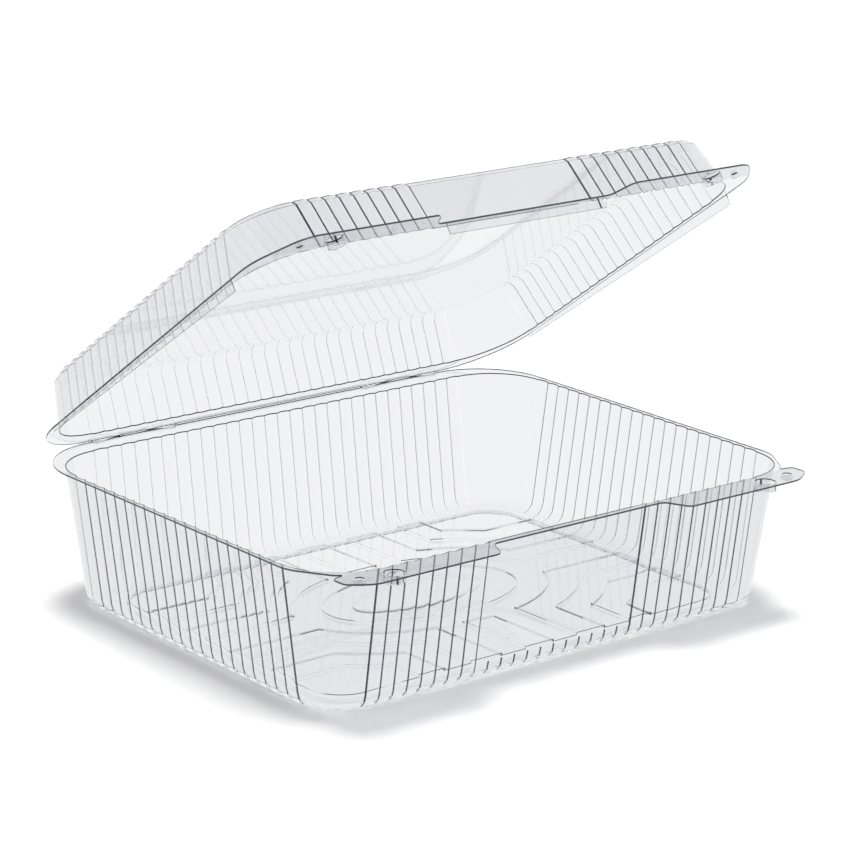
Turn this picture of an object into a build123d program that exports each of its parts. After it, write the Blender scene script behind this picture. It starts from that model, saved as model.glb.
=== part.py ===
from build123d import *
import math
import os

os.makedirs("parts", exist_ok=True)

# A hinged food pack thermoformed from one clear sheet: a deep fluted tray and a
# shallow fluted lid, joined along the back by a living hinge.
# X runs along the hinge, -Y is the front where the tabs are, and Z = 0 is the table.
# Lengths are drawn from the middle of the tray, and the whole is centred at the end.

# Driving sizes, in millimetres
sheet = 0.4
pitch_x = 6.25
pitch_y = 6.5
flutes_x = 29
flutes_y = 20
front_flutes_left = 8
front_flutes_right = 9
flute_depth = 0.9
rim_corner = 24.0

tray_height = 55.0
tray_wall_inset = 6.9
tray_fillet = 6.0
floor_ring = 6.0
floor_rise = 1.6
floor_corner = 14.0

# The floor's raised bands: two bent bands in each corner, drawn round nested ovals,
# a ring in the middle, and a short tongue to the front and one to the back
band_rise = 0.9
corner_bands = [
    ((18.6, 8.6, 57.0, 37.0), (32.2, 20.3, 69.0, 48.0)),
    ((45.0, 33.0, 81.0, 59.0), (56.3, 45.8, 93.0, 70.5)),
]
ring_outside = (43.5, 25.5)
ring_inside = (31.0, 13.5)
tongue_half_width = 6.5
tongue_start = 36.5

lid_height = 21.0
lid_wall_inset = 3.9
lid_fillet = 5.0
lid_gap = 0.3

hinge_y = 98.5
hinge_slit = 0.3
lid_open_angle = 34.9

# Flange widths, measured from the middle of the pack
side_edge = 116.8
bay_edge = 91.4
tab_edge = 101.5
bay_end = 41.0
tab_start = 45.5
tab_tip = 110.5
back_corner = 30.0

# The lid's flange stands outside the tray's by this much and carries a short skirt
skirt_clearance = 0.5
skirt_front = 4.2
skirt_back = 1.2
skirt_side_end = 70.0
skirt_bay_end = 37.0

# Snap studs of the lid press into cups in the tray's tabs
snap_x = 89.0
snap_y = 95.6
snap_cup = 4.4
snap_cup_depth = 3.2
snap_stud = 3.6
snap_stud_depth = 2.8
pip_x = 102.5
pip_y = 93.5
pip_cup = 2.2
pip_stud = 1.4
pip_depth = 1.8

straight_x = flutes_x * pitch_x / 2
straight_y = flutes_y * pitch_y / 2
half_x = straight_x + rim_corner
half_y = straight_y + rim_corner
hinge_z = tray_height + lid_gap / 2
lid_rim = tray_height + lid_gap


def flute_edges(start, end, count, depth=flute_depth):
    # A row of shallow arcs that bulge to the right of the way from start to end
    step = (end - start) / count
    outward = Vector(step.Y, -step.X).normalized() * depth
    edges = []
    for index in range(count):
        a = start + step * index
        b = start + step * (index + 1)
        if depth:
            edges.append(Edge.make_three_point_arc(a, (a + b) / 2 + outward, b))
        else:
            edges.append(Edge.make_line(a, b))
    return edges


def corner_edge(centre_x, centre_y, radius, from_angle, z):
    # A quarter round, anticlockwise from the given angle
    points = []
    for turn in (0, 45, 90):
        angle = math.radians(from_angle + turn)
        x = centre_x + radius * math.cos(angle)
        y = centre_y + radius * math.sin(angle)
        points.append(Vector(x, y, z))
    return Edge.make_three_point_arc(*points)


def wall_section(inset, z, bay_depth):
    # The pack's plan, moved in from the rim by inset: the flutes keep their pitch.
    # The front has a plain bay in its middle, whose flutes start only in the bottom bend
    x = half_x - inset
    y = half_y - inset
    radius = rim_corner - inset
    bay_left = -straight_x + front_flutes_left * pitch_x
    bay_right = straight_x - front_flutes_right * pitch_x
    front = flute_edges(Vector(-straight_x, -y, z), Vector(bay_left, -y, z), front_flutes_left)
    bay_flutes = flutes_x - front_flutes_left - front_flutes_right
    front += flute_edges(Vector(bay_left, -y, z), Vector(bay_right, -y, z), bay_flutes, bay_depth)
    front += flute_edges(Vector(bay_right, -y, z), Vector(straight_x, -y, z), front_flutes_right)
    right = flute_edges(Vector(x, -straight_y, z), Vector(x, straight_y, z), flutes_y)
    back = flute_edges(Vector(straight_x, y, z), Vector(-straight_x, y, z), flutes_x)
    left = flute_edges(Vector(-x, straight_y, z), Vector(-x, -straight_y, z), flutes_y)
    edges = front + [corner_edge(straight_x, -straight_y, radius, -90, z)]
    edges += right + [corner_edge(straight_x, straight_y, radius, 0, z)]
    edges += back + [corner_edge(-straight_x, straight_y, radius, 90, z)]
    edges += left + [corner_edge(-straight_x, -straight_y, radius, 180, z)]
    return Face(Wire(edges))


def formed_block(rim_z, end_z, wall_inset, fillet_radius, offset, bay_depth):
    # The sloping walls and rounded closed end, moved inwards by offset
    way = math.copysign(1.0, end_z - rim_z)
    slope = wall_inset / (abs(end_z - rim_z) - fillet_radius)
    past_rim = 1.0 if offset else 0.0
    sections = [wall_section(offset - slope * past_rim, rim_z - way * past_rim, 0)]
    for angle in (0, 30, 60, 90):
        bend = math.radians(angle)
        inner_radius = fillet_radius - offset
        inset = wall_inset + fillet_radius - inner_radius * math.cos(bend)
        z = end_z - way * (fillet_radius - inner_radius * math.sin(bend))
        sections.append(wall_section(inset, z, bay_depth * math.sin(bend)))
    return loft(sections, ruled=True)


def panel_outline(grow):
    return RectangleRounded(panel_x + 2 * grow, panel_y + 2 * grow, floor_corner + grow)


def corner_zone(edge_x, edge_y, oval_x, oval_y, grow):
    # What lies past both edges and outside the oval, in all four corners
    zone = Rectangle(panel_x + 2, panel_y + 2)
    zone -= Rectangle(2 * (edge_x - grow), panel_y + 3)
    zone -= Rectangle(panel_x + 3, 2 * (edge_y - grow))
    return zone - Ellipse(oval_x - grow, oval_y - grow)


def floor_panel(grow):
    # The raised middle of the floor with its bands, each outline wider by grow
    panel = extrude(panel_outline(grow), amount=floor_rise)
    bands = [
        corner_zone(*outside, grow) - corner_zone(*inside, -grow)
        for outside, inside in corner_bands
    ]
    ring = Ellipse(ring_outside[0] + grow, ring_outside[1] + grow)
    bands.append(ring - Ellipse(ring_inside[0] - grow, ring_inside[1] - grow))
    tongues = Rectangle(2 * (tongue_half_width + grow), panel_y + 2)
    bands.append(tongues - Rectangle(panel_x, 2 * (tongue_start - grow)))
    for band in bands:
        panel += extrude(band & panel_outline(grow), amount=floor_rise + band_rise)
    return panel


def plate(points, radii, z, thickness):
    # A flat flange from its outline, symmetric about the middle of the pack
    mirrored = [(-x, y) for x, y in reversed(points)]
    outline = FilletPolyline(*(points + mirrored), radius=radii + radii[::-1], close=True)
    face = Face(Wire(outline.edges()))
    return Pos(0, 0, z) * extrude(face, amount=thickness, dir=(0, 0, 1))


def lid_plate(inset, z, thickness):
    # The lid's outline, with a smooth lobe at each front corner
    side = side_edge + skirt_clearance + sheet - inset
    bay = bay_edge + skirt_clearance + sheet - inset
    points = [
        (bay_end, -bay),
        (tab_start, -tab_edge + inset),
        (tab_tip - 6, -tab_edge + inset),
        (side, -84 + inset),
        (side, hinge_y - hinge_slit),
    ]
    return plate(points, [3.5, 3.5, 12, 20, back_corner], z, thickness)


def snap(x, y, radius, rim_z, depth):
    # A drawn round button that goes down from the flange
    return Pos(x, y, rim_z - depth / 2) * Cylinder(radius, depth)


def snap_places(sign):
    return [(sign * snap_x, -snap_y), (sign * pip_x, -pip_y)]


# Tray: fluted shell, raised floor panel, flange and tabs
tray_outline = [
    (bay_end, -bay_edge),
    (tab_start, -tab_edge),
    (tab_tip - 9, -tab_edge),
    (tab_tip, -tab_edge + 6),
    (tab_tip, -tab_edge + 13),
    (104.6, -87.3),
    (107.6, -85.0),
    (side_edge, -70.5),
    (side_edge, hinge_y - hinge_slit),
]
tray_radii = [3.5, 3.5, 10, 4, 2, 0.4, 1.2, 16, back_corner]

panel_x = 2 * (half_x - tray_wall_inset - tray_fillet - floor_ring)
panel_y = 2 * (half_y - tray_wall_inset - tray_fillet - floor_ring)
panel_under = floor_panel(0)
panel_over = Pos(0, 0, sheet) * floor_panel(sheet)
panel_over += extrude(panel_outline(sheet), amount=2 * sheet)

tray_outer = formed_block(tray_height, 0, tray_wall_inset, tray_fillet, 0, flute_depth)
tray_inner = formed_block(tray_height, 0, tray_wall_inset, tray_fillet, sheet, flute_depth)
tray_flange = plate(tray_outline, tray_radii, tray_height - sheet, sheet)

tray = tray_outer - panel_under + tray_flange
tray -= tray_inner - panel_over
for sign in (-1, 1):
    button, pip = snap_places(sign)
    tray += snap(*button, snap_cup, tray_height, snap_cup_depth)
    tray -= snap(*button, snap_cup - sheet, tray_height + 1, snap_cup_depth + 1 - sheet)
    tray += snap(*pip, pip_cup, tray_height, pip_depth + sheet)
    tray -= snap(*pip, pip_cup - sheet, tray_height + 1, pip_depth + 1)

# Lid, modelled shut: fluted shell, flange with tabs, skirt, snap studs
lid_top = lid_rim + lid_height
lid_outer = formed_block(lid_rim, lid_top, lid_wall_inset, lid_fillet, 0, 0)
lid_inner = formed_block(lid_rim, lid_top, lid_wall_inset, lid_fillet, sheet, 0)

skirt_band = lid_plate(0, lid_rim - skirt_front, skirt_front)
skirt_band -= lid_plate(sheet, lid_rim - skirt_front - 1, skirt_front + 2)
skirt_side = Pos(0, 0, lid_rim) * Box(400, 2 * skirt_side_end, 20)
skirt_side -= Pos(0, 0, lid_rim) * Box(2 * half_x, 400, 20)
skirt_bay = Pos(0, -half_y - 10, lid_rim) * Box(2 * skirt_bay_end, 20, 20)
taper = Polyline(
    (0, -skirt_side_end - 1, lid_rim - skirt_front),
    (0, skirt_side_end + 1, lid_rim - skirt_back),
    (0, skirt_side_end + 1, lid_rim - skirt_front - 5),
    (0, -skirt_side_end - 1, lid_rim - skirt_front - 5),
    close=True,
)
taper_cut = extrude(Face(Wire(taper.edges())), amount=200, dir=(1, 0, 0), both=True)
skirt = (skirt_band & skirt_side) - taper_cut
skirt += skirt_band & skirt_bay

lid = lid_outer + lid_plate(0, lid_rim, sheet) + skirt - lid_inner
for sign in (-1, 1):
    button, pip = snap_places(sign)
    lid += snap(*button, snap_stud, lid_rim, snap_stud_depth)
    lid -= snap(*button, snap_stud - sheet, lid_rim + 1, snap_stud_depth + 1 - sheet)
    lid += snap(*pip, pip_stud, lid_rim, pip_depth - sheet)
    lid -= snap(*pip, pip_stud - sheet, lid_rim + 1, pip_depth + 1 - 2 * sheet)

# The lid stands part open, turned about the living hinge
hinge_axis = Axis((0, hinge_y, hinge_z), (1, 0, 0))
lid = lid.rotate(hinge_axis, -lid_open_angle)

# The origin is on the table, in the middle of the open pack's footprint
footprint = Compound([tray, lid]).bounding_box()
to_origin = Pos(0, -footprint.center().Y, 0)
tray = to_origin * tray
lid = to_origin * lid
print("moved in Y by", round(-footprint.center().Y, 4))

for name, shape in {"tray": tray, "lid": lid}.items():
    shape.label = name
    export_step(shape, f"parts/{name}.step")
    print(name, len(shape.solids()), round(shape.volume))
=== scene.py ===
import bpy
from math import cos, sin, radians
from mathutils import Matrix, Vector


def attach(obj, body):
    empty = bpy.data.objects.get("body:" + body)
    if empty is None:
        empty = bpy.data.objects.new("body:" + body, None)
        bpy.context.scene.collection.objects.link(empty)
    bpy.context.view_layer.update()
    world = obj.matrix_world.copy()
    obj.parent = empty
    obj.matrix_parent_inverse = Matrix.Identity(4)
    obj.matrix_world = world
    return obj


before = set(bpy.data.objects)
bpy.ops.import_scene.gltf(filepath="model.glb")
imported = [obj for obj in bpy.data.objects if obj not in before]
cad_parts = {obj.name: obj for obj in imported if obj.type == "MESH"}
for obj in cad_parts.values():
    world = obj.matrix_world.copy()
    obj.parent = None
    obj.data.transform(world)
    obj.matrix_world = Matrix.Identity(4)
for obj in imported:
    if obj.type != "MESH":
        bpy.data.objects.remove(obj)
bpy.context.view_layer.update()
scene = bpy.context.scene
mm = 0.001
middleY = 1.4657  # the middle of the walls, in millimetres behind the frame's origin


def addNode(tree, kind, place, **values):
    node = tree.nodes.new(kind)
    node.location = place
    for name, value in values.items():
        setattr(node, name, value)
    return node


def newMaterial(name):
    material = bpy.data.materials.new(name)
    material.use_nodes = True
    material.node_tree.nodes.clear()
    return material, material.node_tree


# the pack stands square to its own axes, the camera looks down on its front from one corner
camera = {"lens": 144.16, "turn": -39.06, "height": 16.245, "roll": 0.729,
          "distance": 1314.2, "across": 1.902, "up": 67.343,
          "nearest": 0.05, "farthest": 20, "sensor": 36}


def makeCamera():
    c = camera
    a, e, r = radians(c["turn"]), radians(c["height"]), radians(c["roll"])
    back = Vector((sin(a) * cos(e), -cos(a) * cos(e), sin(e)))
    right = Vector((cos(a), sin(a), 0))
    up = back.cross(right)
    side = right * cos(r) + up * sin(r)
    top = up * cos(r) - right * sin(r)
    place = back * c["distance"] + side * c["across"] + top * c["up"]
    place.y += middleY
    bpy.ops.object.camera_add()
    cam = bpy.context.object
    cam.name = "packCamera"
    turned = Matrix((side, top, back)).transposed().to_4x4()
    cam.matrix_world = Matrix.Translation(place * mm) @ turned
    cam.data.lens = c["lens"]
    cam.data.sensor_width = c["sensor"]
    cam.data.clip_start = c["nearest"]
    cam.data.clip_end = c["farthest"]
    scene.camera = cam


makeCamera()
print("camera set")

# soft pale studio: a white floor that keeps the shadow, and a world that glass sees as white
studio = {"floorSize": 8.0, "floorDrop": 0.00005, "floorColour": 0.8, "floorLit": 0.86,
          "floorGlow": 0.1, "worldColour": 0.34, "ceiling": 0.25, "paleUpTo": 0.4, "darkFrom": 0.85,
          "sun": 2.55, "sunWidth": 18.0, "sunPlace": (0.3, 0.4, 1.2), "sunWay": (-0.05, -0.07, -1),
          "lamp": 2.0, "lampSize": 0.8, "lampPlace": (-1.2, 0.1, 0.9), "lampAim": (0, 0, 0.05),
          "bounces": 24, "mirrorBounces": 16, "clearLayers": 32}


# 1 for what the camera, a mirror or the clear sheet shows, 0 for light that only falls on things
def seenDirectly(tree, x, y):
    path = addNode(tree, "ShaderNodeLightPath", (x, y))
    first = addNode(tree, "ShaderNodeMath", (x + 200, y), operation="MAXIMUM")
    both = addNode(tree, "ShaderNodeMath", (x + 400, y), operation="MAXIMUM")
    tree.links.new(path.outputs["Is Camera Ray"], first.inputs[0])
    tree.links.new(path.outputs["Is Glossy Ray"], first.inputs[1])
    tree.links.new(first.outputs[0], both.inputs[0])
    tree.links.new(path.outputs["Is Transmission Ray"], both.inputs[1])
    return both.outputs[0]


def makeWorld():
    world = bpy.data.worlds.new("paleStudio")
    world.use_nodes = True
    tree = world.node_tree
    tree.nodes.clear()
    out = addNode(tree, "ShaderNodeOutputWorld", (800, 0))
    lit = addNode(tree, "ShaderNodeBackground", (300, 0))
    shown = addNode(tree, "ShaderNodeBackground", (300, -200))
    mix = addNode(tree, "ShaderNodeMixShader", (600, 0))
    level = studio["worldColour"]
    lit.inputs["Color"].default_value = (level, level, level, 1)
    # pale all round, with a darker ceiling that the sheet mirrors
    way = addNode(tree, "ShaderNodeTexCoord", (-900, -300))
    parts = addNode(tree, "ShaderNodeSeparateXYZ", (-700, -300))
    rise = addNode(tree, "ShaderNodeMapRange", (-500, -300), interpolation_type="SMOOTHSTEP")
    rise.inputs["From Min"].default_value = studio["paleUpTo"]
    rise.inputs["From Max"].default_value = studio["darkFrom"]
    rise.inputs["To Min"].default_value = 1
    rise.inputs["To Max"].default_value = studio["ceiling"]
    straight = addNode(tree, "ShaderNodeLightPath", (-500, -600))
    sky = addNode(tree, "ShaderNodeMix", (0, -300), data_type="FLOAT")
    sky.inputs[3].default_value = 1
    tree.links.new(way.outputs["Generated"], parts.inputs[0])
    tree.links.new(parts.outputs["Z"], rise.inputs["Value"])
    tree.links.new(straight.outputs["Is Camera Ray"], sky.inputs[0])
    tree.links.new(rise.outputs[0], sky.inputs[2])
    tree.links.new(sky.outputs[0], shown.inputs["Color"])
    tree.links.new(seenDirectly(tree, -300, 200), mix.inputs[0])
    tree.links.new(lit.outputs[0], mix.inputs[1])
    tree.links.new(shown.outputs[0], mix.inputs[2])
    tree.links.new(mix.outputs[0], out.inputs["Surface"])
    scene.world = world


def makeFloor():
    bpy.ops.mesh.primitive_plane_add(size=studio["floorSize"],
                                     location=(0, 0, -studio["floorDrop"]))
    floor = bpy.context.object
    floor.name = "paleFloor"
    material, tree = newMaterial("paleFloor")
    out = addNode(tree, "ShaderNodeOutputMaterial", (900, 0))
    path = addNode(tree, "ShaderNodeLightPath", (-300, 300))
    plain = addNode(tree, "ShaderNodeBsdfDiffuse", (100, 0))
    shadowed = addNode(tree, "ShaderNodeBsdfDiffuse", (100, -150))
    glow = addNode(tree, "ShaderNodeEmission", (100, -300))
    white = addNode(tree, "ShaderNodeEmission", (100, -450))
    added = addNode(tree, "ShaderNodeAddShader", (300, -200))
    seen = addNode(tree, "ShaderNodeMixShader", (500, 0))
    glass = addNode(tree, "ShaderNodeMixShader", (700, 0))
    either = addNode(tree, "ShaderNodeMath", (100, 300), operation="MAXIMUM")
    base, lit, soft = studio["floorColour"], studio["floorLit"], studio["floorGlow"]
    plain.inputs["Color"].default_value = (base, base, base, 1)
    shadowed.inputs["Color"].default_value = (lit, lit, lit, 1)
    glow.inputs["Color"].default_value = (soft, soft, soft, 1)
    tree.links.new(shadowed.outputs[0], added.inputs[0])
    tree.links.new(glow.outputs[0], added.inputs[1])
    tree.links.new(path.outputs["Is Camera Ray"], seen.inputs[0])
    tree.links.new(plain.outputs[0], seen.inputs[1])
    tree.links.new(added.outputs[0], seen.inputs[2])
    tree.links.new(path.outputs["Is Glossy Ray"], either.inputs[0])
    tree.links.new(path.outputs["Is Transmission Ray"], either.inputs[1])
    tree.links.new(either.outputs[0], glass.inputs[0])
    tree.links.new(seen.outputs[0], glass.inputs[1])
    tree.links.new(white.outputs[0], glass.inputs[2])
    tree.links.new(glass.outputs[0], out.inputs["Surface"])
    floor.data.materials.append(material)


def makeLamp(name, kind, place, way, power):
    bpy.ops.object.light_add(type=kind, location=place)
    lamp = bpy.context.object
    lamp.name = name
    lamp.data.energy = power
    lamp.visible_transmission = False
    lamp.rotation_mode = "QUATERNION"
    lamp.rotation_quaternion = Vector(way).to_track_quat("-Z", "Y")
    return lamp.data


makeWorld()
makeFloor()
window = makeLamp("highWindow", "SUN", studio["sunPlace"], studio["sunWay"], studio["sun"])
window.angle = radians(studio["sunWidth"])
lampWay = Vector(studio["lampAim"]) - Vector(studio["lampPlace"])
softbox = makeLamp("leftSoftbox", "AREA", studio["lampPlace"], lampWay, studio["lamp"])
softbox.size = studio["lampSize"]
scene.view_settings.view_transform = "Standard"
scene.cycles.max_bounces = studio["bounces"]
scene.cycles.transmission_bounces = studio["bounces"]
scene.cycles.glossy_bounces = studio["mirrorBounces"]
scene.cycles.transparent_max_bounces = studio["clearLayers"]
print("studio lit")

# thin clear sheet with painted light and shade: each bend between two flutes gets a painted dark
# slate line from outside and a painted pale one from inside, the cut edge painted dark shade and
# the front flange a painted greyer shade
clearSheet = {"flat": (0.888, 0.89, 0.905, 1), "line": (0.02, 0.035, 0.045, 1),
              "paintedPaleBend": (0.97, 0.97, 0.985, 1), "edge": (0.012, 0.02, 0.026, 1),
              "flange": (0.75, 0.76, 0.775, 1), "lampTint": (0.4, 0.4, 0.41, 1),
              "grazing": (0.36, 0.4, 0.43, 1), "grazeFrom": 0.86, "grazeTo": 0.99,
              "ior": 1.25, "smoothest": 0.01, "roughest": 0.06, "farSpread": 0.6,
              "rippleScale": 38.0, "rippleDetail": 2, "rippleHeight": 0.00003}

# where the sheet bends, in millimetres with the pack shut and level
bendLines = {"halfWidth": 0.42, "core": 0.55, "pitchX": 6.25, "pitchY": 6.5,
             "straightX": 90.625, "straightY": 65.0, "past": 0.3, "wallX": 96.4, "wallY": 70.8,
             "bayLeft": -40.6, "bayRight": 34.4, "bayLow": 6.5, "bayMargin": 0.4, "steep": 0.93,
             "rimBand": 0.22, "upright": 0.5, "tabsFrom": -88.0}


# one math node on up to three numbers or sockets
def mathOf(tree, operation, first, second=None, third=None, x=0, y=0):
    node = addNode(tree, "ShaderNodeMath", (x, y), operation=operation)
    for socket, value in zip(node.inputs, (first, second, third)):
        if value is None:
            continue
        if isinstance(value, (int, float)):
            socket.default_value = value
        else:
            tree.links.new(value, socket)
    return node.outputs[0]


# masks of the bends, the cut edge and the front flange, where the painted shade and light go, from
# a place and a way on the shut pack
def makeBendMarks():
    b = bendLines
    group = bpy.data.node_groups.new("bendMarks", "ShaderNodeTree")
    for name in ("Place", "Normal"):
        group.interface.new_socket(name, in_out="INPUT", socket_type="NodeSocketVector")
    for name in ("Rim", "Side strength"):
        group.interface.new_socket(name, in_out="INPUT", socket_type="NodeSocketFloat")
    for name in ("Near line", "Far line", "Edge", "Flange"):
        group.interface.new_socket(name, in_out="OUTPUT", socket_type="NodeSocketFloat")
    come = addNode(group, "NodeGroupInput", (-1600, 0))
    go = addNode(group, "NodeGroupOutput", (1400, 0))
    place = addNode(group, "ShaderNodeSeparateXYZ", (-1300, 200))
    normal = addNode(group, "ShaderNodeSeparateXYZ", (-1300, -200))
    group.links.new(come.outputs["Place"], place.inputs[0])
    group.links.new(come.outputs["Normal"], normal.inputs[0])
    px, py, pz = place.outputs
    nx, ny, nz = normal.outputs

    def bends(along, straight, pitch, y):
        steps = mathOf(group, "MULTIPLY_ADD", along, 1 / pitch, straight / pitch, x=-1000, y=y)
        part = mathOf(group, "FRACT", steps, x=-800, y=y)
        off = mathOf(group, "SUBTRACT", part, 0.5, x=-600, y=y)
        off = mathOf(group, "ABSOLUTE", off, x=-400, y=y)
        narrow = addNode(group, "ShaderNodeMapRange", (-200, y), interpolation_type="SMOOTHSTEP")
        group.links.new(off, narrow.inputs["Value"])
        narrow.inputs["From Min"].default_value = 0.5 - b["halfWidth"] / pitch
        narrow.inputs["From Max"].default_value = 0.5 - b["core"] * b["halfWidth"] / pitch
        within = mathOf(group, "ABSOLUTE", along, x=-600, y=y - 150)
        within = mathOf(group, "LESS_THAN", within, straight + b["past"], x=-400, y=y - 150)
        return mathOf(group, "MULTIPLY", narrow.outputs[0], within, x=0, y=y)

    onEnds = bends(px, b["straightX"], b["pitchX"], 600)
    onSides = bends(py, b["straightY"], b["pitchY"], 200)
    # the front bay is plain above its low flutes
    inBay = mathOf(group, "GREATER_THAN", px, b["bayLeft"] + b["bayMargin"], x=-400, y=900)
    for limit, operation, bound in ((px, "LESS_THAN", b["bayRight"] - b["bayMargin"]),
                                    (py, "LESS_THAN", 0), (pz, "GREATER_THAN", b["bayLow"])):
        inside = mathOf(group, operation, limit, bound, x=-200, y=1050)
        inBay = mathOf(group, "MULTIPLY", inBay, inside, x=0, y=950)
    offBay = mathOf(group, "SUBTRACT", 1, inBay, x=150, y=950)
    onEnds = mathOf(group, "MULTIPLY", onEnds, offBay, x=300, y=600)
    sideways = mathOf(group, "ABSOLUTE", nx, x=-1000, y=-200)
    endways = mathOf(group, "ABSOLUTE", ny, x=-1000, y=-350)
    upwards = mathOf(group, "ABSOLUTE", nz, x=-1000, y=-500)
    facesSide = mathOf(group, "GREATER_THAN", sideways, endways, x=-800, y=-200)
    steep = mathOf(group, "LESS_THAN", upwards, b["steep"], x=-800, y=-500)
    # a face that looks away from the middle is the outside of its wall
    outSide = mathOf(group, "MULTIPLY", nx, px, x=-1000, y=-650)
    outSide = mathOf(group, "GREATER_THAN", outSide, 0, x=-800, y=-650)
    outEnd = mathOf(group, "MULTIPLY", ny, py, x=-1000, y=-800)
    outEnd = mathOf(group, "GREATER_THAN", outEnd, 0, x=-800, y=-800)

    def chosen(forSides, forEnds, y):
        pick = addNode(group, "ShaderNodeMix", (500, y), data_type="FLOAT")
        group.links.new(facesSide, pick.inputs[0])
        group.links.new(forEnds, pick.inputs[2])
        group.links.new(forSides, pick.inputs[3])
        return pick.outputs[0]

    onWallX = mathOf(group, "ABSOLUTE", px, x=100, y=0)
    onWallX = mathOf(group, "GREATER_THAN", onWallX, b["wallX"], x=300, y=0)
    onWallY = mathOf(group, "ABSOLUTE", py, x=100, y=-150)
    onWallY = mathOf(group, "GREATER_THAN", onWallY, b["wallY"], x=300, y=-150)
    steep = mathOf(group, "MULTIPLY", steep, chosen(onWallX, onWallY, 100), x=650, y=100)
    line = mathOf(group, "MULTIPLY", chosen(onSides, onEnds, 400), steep, x=700, y=400)
    outSide = mathOf(group, "MULTIPLY", outSide, come.outputs["Side strength"], x=300, y=-650)
    outer = chosen(outSide, outEnd, -400)
    near = mathOf(group, "MULTIPLY", line, outer, x=900, y=300)
    far = mathOf(group, "SUBTRACT", line, near, x=900, y=100)
    # on the rim, upright faces are the cut edge and level ones the flange
    rise = mathOf(group, "SUBTRACT", pz, come.outputs["Rim"], x=-600, y=-900)
    rise = mathOf(group, "ABSOLUTE", rise, x=-400, y=-900)
    atRim = mathOf(group, "LESS_THAN", rise, b["rimBand"], x=-200, y=-900)
    upright = mathOf(group, "LESS_THAN", upwards, b["upright"], x=-200, y=-1050)
    edge = mathOf(group, "MULTIPLY", atRim, upright, x=200, y=-900)
    lying = mathOf(group, "SUBTRACT", 1, upright, x=0, y=-1050)
    flat = mathOf(group, "MULTIPLY", atRim, lying, x=200, y=-1050)
    inFront = mathOf(group, "LESS_THAN", py, b["tabsFrom"], x=200, y=-1200)
    flat = mathOf(group, "MULTIPLY", flat, inFront, x=400, y=-1050)
    for value, name in ((near, "Near line"), (far, "Far line"), (edge, "Edge"), (flat, "Flange")):
        group.links.new(value, go.inputs[name])
    return group


bendMarks = makeBendMarks()


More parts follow.
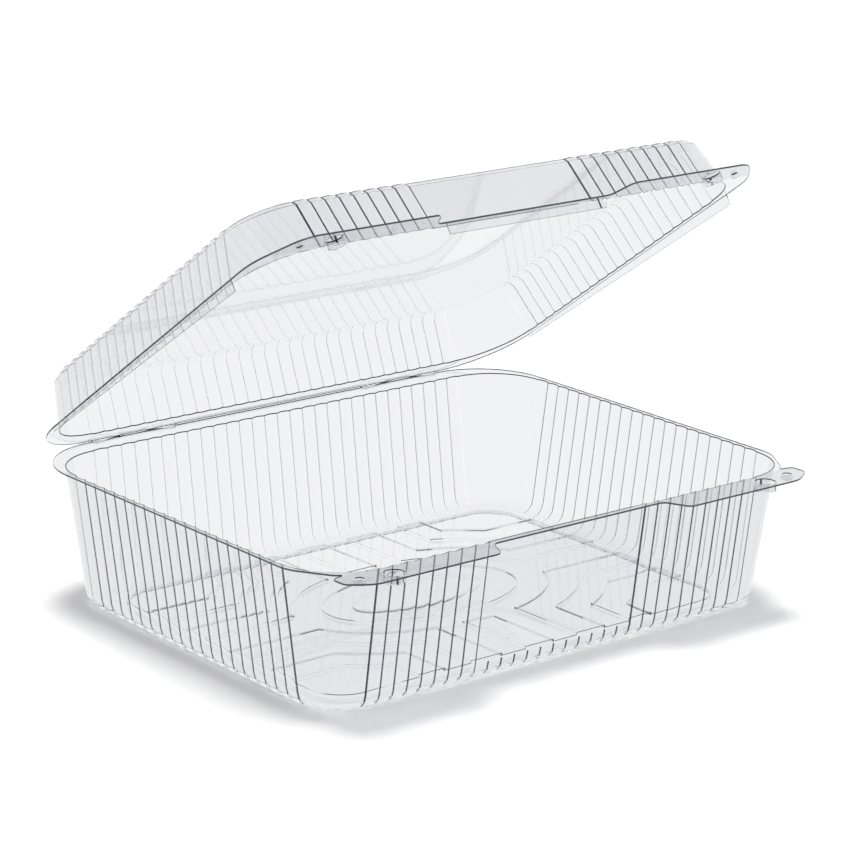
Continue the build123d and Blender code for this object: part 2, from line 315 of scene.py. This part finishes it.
def clearPlastic(name, rim, turn, hinge, sideStrength=1):
    s = clearSheet
    material, tree = newMaterial(name)
    out = addNode(tree, "ShaderNodeOutputMaterial", (1300, 0))
    sheet = addNode(tree, "ShaderNodeBsdfPrincipled", (700, 0))
    sheet.inputs["IOR"].default_value = s["ior"]
    sheet.inputs["Transmission Weight"].default_value = 1
    coords = addNode(tree, "ShaderNodeTexCoord", (-1300, 0))
    # lay the part back in its shut, level place about the hinge, in millimetres
    fromHinge = addNode(tree, "ShaderNodeVectorMath", (-1100, 200), operation="SUBTRACT")
    fromHinge.inputs[1].default_value = [v * mm for v in hinge]
    level = addNode(tree, "ShaderNodeVectorRotate", (-900, 200), rotation_type="X_AXIS")
    level.inputs["Angle"].default_value = radians(turn)
    scaled = addNode(tree, "ShaderNodeVectorMath", (-700, 200), operation="MULTIPLY_ADD")
    scaled.inputs[1].default_value = (1 / mm, 1 / mm, 1 / mm)
    scaled.inputs[2].default_value = (hinge[0], hinge[1] - middleY, hinge[2])
    facing = addNode(tree, "ShaderNodeVectorRotate", (-700, -100), rotation_type="X_AXIS")
    facing.inputs["Angle"].default_value = radians(turn)
    marks = addNode(tree, "ShaderNodeGroup", (-450, 200))
    marks.node_tree = bendMarks
    marks.inputs["Rim"].default_value = rim
    marks.inputs["Side strength"].default_value = sideStrength
    tree.links.new(coords.outputs["Object"], fromHinge.inputs[0])
    tree.links.new(fromHinge.outputs[0], level.inputs["Vector"])
    tree.links.new(level.outputs[0], scaled.inputs[0])
    tree.links.new(coords.outputs["Normal"], facing.inputs["Vector"])
    tree.links.new(scaled.outputs[0], marks.inputs["Place"])
    tree.links.new(facing.outputs[0], marks.inputs["Normal"])
    shade = None
    # painted shade and light over the sheet's own flat tint: a painted greyer front flange, a
    # painted pale tint on bends seen from inside, a painted dark line on bends seen from outside
    # and painted dark shade on the cut edge
    for index, (mark, colour) in enumerate((("Flange", "flange"), ("Far line", "paintedPaleBend"),
                                            ("Near line", "line"), ("Edge", "edge"))):
        mix = addNode(tree, "ShaderNodeMix", (-200 + 200 * index, 300), data_type="RGBA")
        tree.links.new(marks.outputs[mark], mix.inputs[0])
        if shade is None:
            mix.inputs[6].default_value = s["flat"]
        else:
            tree.links.new(shade, mix.inputs[6])
        mix.inputs[7].default_value = s[colour]
        shade = mix.outputs[2]
    # painted shade: seen along its face the sheet's colour darkens, standing in for the darker room
    # it mirrors there
    along = addNode(tree, "ShaderNodeLayerWeight", (300, 600))
    graze = addNode(tree, "ShaderNodeMapRange", (300, 450), interpolation_type="SMOOTHSTEP")
    graze.inputs["From Min"].default_value = s["grazeFrom"]
    graze.inputs["From Max"].default_value = s["grazeTo"]
    outline = addNode(tree, "ShaderNodeMix", (550, 300), data_type="RGBA")
    outline.inputs[7].default_value = s["grazing"]
    tree.links.new(along.outputs["Facing"], graze.inputs["Value"])
    tree.links.new(graze.outputs[0], outline.inputs[0])
    tree.links.new(shade, outline.inputs[6])
    tree.links.new(outline.outputs[2], sheet.inputs["Base Color"])
    ripple = addNode(tree, "ShaderNodeTexNoise", (-450, -200))
    ripple.inputs["Scale"].default_value = s["rippleScale"]
    ripple.inputs["Detail"].default_value = s["rippleDetail"]
    haze = addNode(tree, "ShaderNodeMapRange", (-200, -100))
    haze.inputs["To Min"].default_value = s["smoothest"]
    haze.inputs["To Max"].default_value = s["roughest"]
    bump = addNode(tree, "ShaderNodeBump", (0, -350))
    bump.inputs["Distance"].default_value = s["rippleHeight"]
    tree.links.new(coords.outputs["Object"], ripple.inputs["Vector"])
    tree.links.new(ripple.outputs["Fac"], haze.inputs["Value"])
    # a bend seen from inside is rougher, so it spreads what is behind it and stays pale, beside its
    # painted pale tint
    spread = mathOf(tree, "MULTIPLY", marks.outputs["Far line"], s["farSpread"], x=0, y=-100)
    roughness = mathOf(tree, "MAXIMUM", haze.outputs[0], spread, x=200, y=-100)
    tree.links.new(roughness, sheet.inputs["Roughness"])
    tree.links.new(ripple.outputs["Fac"], bump.inputs["Height"])
    tree.links.new(bump.outputs[0], sheet.inputs["Normal"])
    path = addNode(tree, "ShaderNodeLightPath", (700, 400))
    lampLight = addNode(tree, "ShaderNodeBsdfTransparent", (700, -500))
    lampLight.inputs["Color"].default_value = s["lampTint"]
    mix = addNode(tree, "ShaderNodeMixShader", (1100, 0))
    tree.links.new(path.outputs["Is Shadow Ray"], mix.inputs[0])
    tree.links.new(sheet.outputs[0], mix.inputs[1])
    tree.links.new(lampLight.outputs[0], mix.inputs[2])
    tree.links.new(mix.outputs[0], out.inputs["Surface"])
    return material


# the fold's line in millimetres, and how far the lid stands open in degrees
hinge = {"place": (0, 99.9657, 55.15), "open": 34.9}

# the fold itself: a thin rounded bead, straight in the middle, bowed out in two side stretches
fold = {"end": 86.5, "step": 2.0, "thick": 0.4, "inset": 0.5, "bowFrom": 47.5, "bowTo": 84.5,
        "bowDepth": 1.8, "notch": 1.2, "sides": 10, "smoothUnder": 60}


# how far the bead lies in from the fold's line, x millimetres from the middle
def foldInset(x):
    f = fold
    far = abs(x)
    if f["bowFrom"] <= far <= f["bowTo"]:
        middle, half = (f["bowFrom"] + f["bowTo"]) / 2, (f["bowTo"] - f["bowFrom"]) / 2
        return f["inset"] + f["bowDepth"] * ((far - middle) / half) ** 2
    away = min(abs(far - f["bowFrom"]), abs(far - f["bowTo"]))
    return f["inset"] + f["bowDepth"] * max(0, 1 - away / f["notch"])


def makeFold():
    f = fold
    bpy.ops.object.select_all(action="DESELECT")
    start = Vector((-f["end"], hinge["place"][1] - f["inset"], hinge["place"][2])) * mm
    bpy.ops.mesh.primitive_circle_add(vertices=f["sides"], radius=f["thick"] * mm, fill_type="NGON",
                                      location=start, rotation=(0, radians(90), 0))
    bead = bpy.context.object
    bead.name = "hingeFold"
    bpy.ops.object.transform_apply(location=True, rotation=True, scale=True)
    bpy.ops.object.mode_set(mode="EDIT")
    bpy.ops.mesh.select_all(action="SELECT")
    steps = int(2 * f["end"] / f["step"])
    stops = [-f["end"] + f["step"] * i for i in range(steps + 1)]
    for bow in (f["bowFrom"], f["bowTo"]):
        for sign in (-1, 1):
            stops += [sign * bow, sign * (bow - f["notch"]), sign * (bow + f["notch"])]
    stops = sorted(set(round(x, 2) for x in stops if abs(x) <= f["end"]))
    for before, after in zip(stops, stops[1:]):
        inward = foldInset(before) - foldInset(after)
        bpy.ops.mesh.extrude_region_move(
            TRANSFORM_OT_translate={"value": ((after - before) * mm, inward * mm, 0)})
    bpy.ops.mesh.select_all(action="SELECT")
    bpy.ops.mesh.normals_make_consistent(inside=False)
    bpy.ops.object.mode_set(mode="OBJECT")
    bpy.ops.object.shade_smooth_by_angle(angle=radians(f["smoothUnder"]))
    bead.data.materials.append(clearPlastic("foldClearSheet", 0, 0, hinge["place"]))
    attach(bead, "tray")
    print("hinge fold made")


makeFold()

# the trimmed edge of the sheet, seen end on, is painted shade: a fine opaque slate line round both
# flanges and along the skirt, mottled paler by noise
trimmedEdge = {"colour": (0.035, 0.05, 0.06, 1), "paleShade": (0.075, 0.095, 0.11, 1),
               "mottleScale": 160, "smoothest": 0.2, "roughest": 0.45, "proud": 0.03, "burr": 1.6,
               "mergeUnder": 0.002, "upright": 0.3, "band": 0.25, "skirtBelow": 54.45,
               "skirtFacing": -0.7, "studsPast": -92.6}


# painted shade for the cut edge: opaque dark slate, mottled paler by noise, in place of the light
# the clear edge bends away
def paintedEdgeShade():
    e = trimmedEdge
    material, tree = newMaterial("paintedEdgeShade")
    out = addNode(tree, "ShaderNodeOutputMaterial", (700, 0))
    cut = addNode(tree, "ShaderNodeBsdfPrincipled", (400, 0))
    coords = addNode(tree, "ShaderNodeTexCoord", (-500, 0))
    mottle = addNode(tree, "ShaderNodeTexNoise", (-300, 0))
    mottle.inputs["Scale"].default_value = e["mottleScale"]
    tone = addNode(tree, "ShaderNodeMix", (0, 0), data_type="RGBA")
    tone.inputs[6].default_value = e["colour"]
    tone.inputs[7].default_value = e["paleShade"]
    rough = addNode(tree, "ShaderNodeMapRange", (0, -250))
    rough.inputs["To Min"].default_value = e["smoothest"]
    rough.inputs["To Max"].default_value = e["roughest"]
    tree.links.new(coords.outputs["Object"], mottle.inputs["Vector"])
    tree.links.new(mottle.outputs["Fac"], tone.inputs[0])
    tree.links.new(mottle.outputs["Fac"], rough.inputs["Value"])
    tree.links.new(tone.outputs[2], cut.inputs["Base Color"])
    tree.links.new(rough.outputs[0], cut.inputs["Roughness"])
    tree.links.new(cut.outputs[0], out.inputs["Surface"])
    return material


# the faces of the cut edge, copied off the sheet and given a hair's thickness to carry the painted
# edge shade
def makeTrimmedEdge(node, rim, turn):
    e = trimmedEdge
    bpy.ops.object.select_all(action="DESELECT")
    strip = bpy.data.objects.new(node + "TrimmedEdge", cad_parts[node].data.copy())
    scene.collection.objects.link(strip)
    strip.select_set(True)
    bpy.context.view_layer.objects.active = strip
    centre = Vector(hinge["place"]) * mm
    level = Matrix.Rotation(radians(turn), 3, "X")
    bpy.ops.mesh.customdata_custom_splitnormals_clear()
    bpy.ops.object.mode_set(mode="EDIT")
    bpy.ops.mesh.select_all(action="SELECT")
    bpy.ops.mesh.remove_doubles(threshold=e["mergeUnder"] * mm)
    bpy.ops.mesh.select_mode(type="FACE")
    bpy.ops.mesh.select_all(action="DESELECT")
    bpy.ops.object.mode_set(mode="OBJECT")
    for face in strip.data.polygons:
        place = (level @ (face.center - centre) + centre) / mm
        way = level @ face.normal
        onRim = abs(place.z - rim) < e["band"] and abs(way.z) < e["upright"]
        onSkirt = node == "lid" and way.z < e["skirtFacing"] and place.z < e["skirtBelow"]
        onSkirt = onSkirt and place.y - middleY > e["studsPast"]
        face.select = not (onRim or onSkirt)
    bpy.ops.object.mode_set(mode="EDIT")
    bpy.ops.mesh.delete(type="FACE")
    bpy.ops.object.mode_set(mode="OBJECT")
    # the trim leaves a slight burr above and below the sheet
    for corner in strip.data.vertices:
        place = level @ (corner.co - centre) + centre
        rise = place.z - rim * mm
        if abs(rise) < e["band"] * mm:
            place.z = rim * mm + rise * e["burr"]
            corner.co = level.inverted() @ (place - centre) + centre
    proud = strip.modifiers.new("proud", "SOLIDIFY")
    proud.thickness = e["proud"] * mm
    proud.offset = 1
    bpy.ops.object.modifier_apply(modifier="proud")
    strip.data.materials.clear()
    strip.data.materials.append(paintedEdgeShade())
    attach(strip, node)
    print(strip.name, len(strip.data.polygons), "faces")


# height of each rim in millimetres with the pack shut, and the turn that brings the part there
sheets = {"tray": {"rim": 54.8, "turn": 0, "sideStrength": 1},
          "lid": {"rim": 55.5, "turn": hinge["open"], "sideStrength": 0.35}}
for node, part in sheets.items():
    material = clearPlastic(node + "ClearSheet", part["rim"], part["turn"], hinge["place"],
                            part["sideStrength"])
    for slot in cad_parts[node].material_slots:
        slot.material = material
    print(node, "in clear sheet")
    makeTrimmedEdge(node, part["rim"], part["turn"])
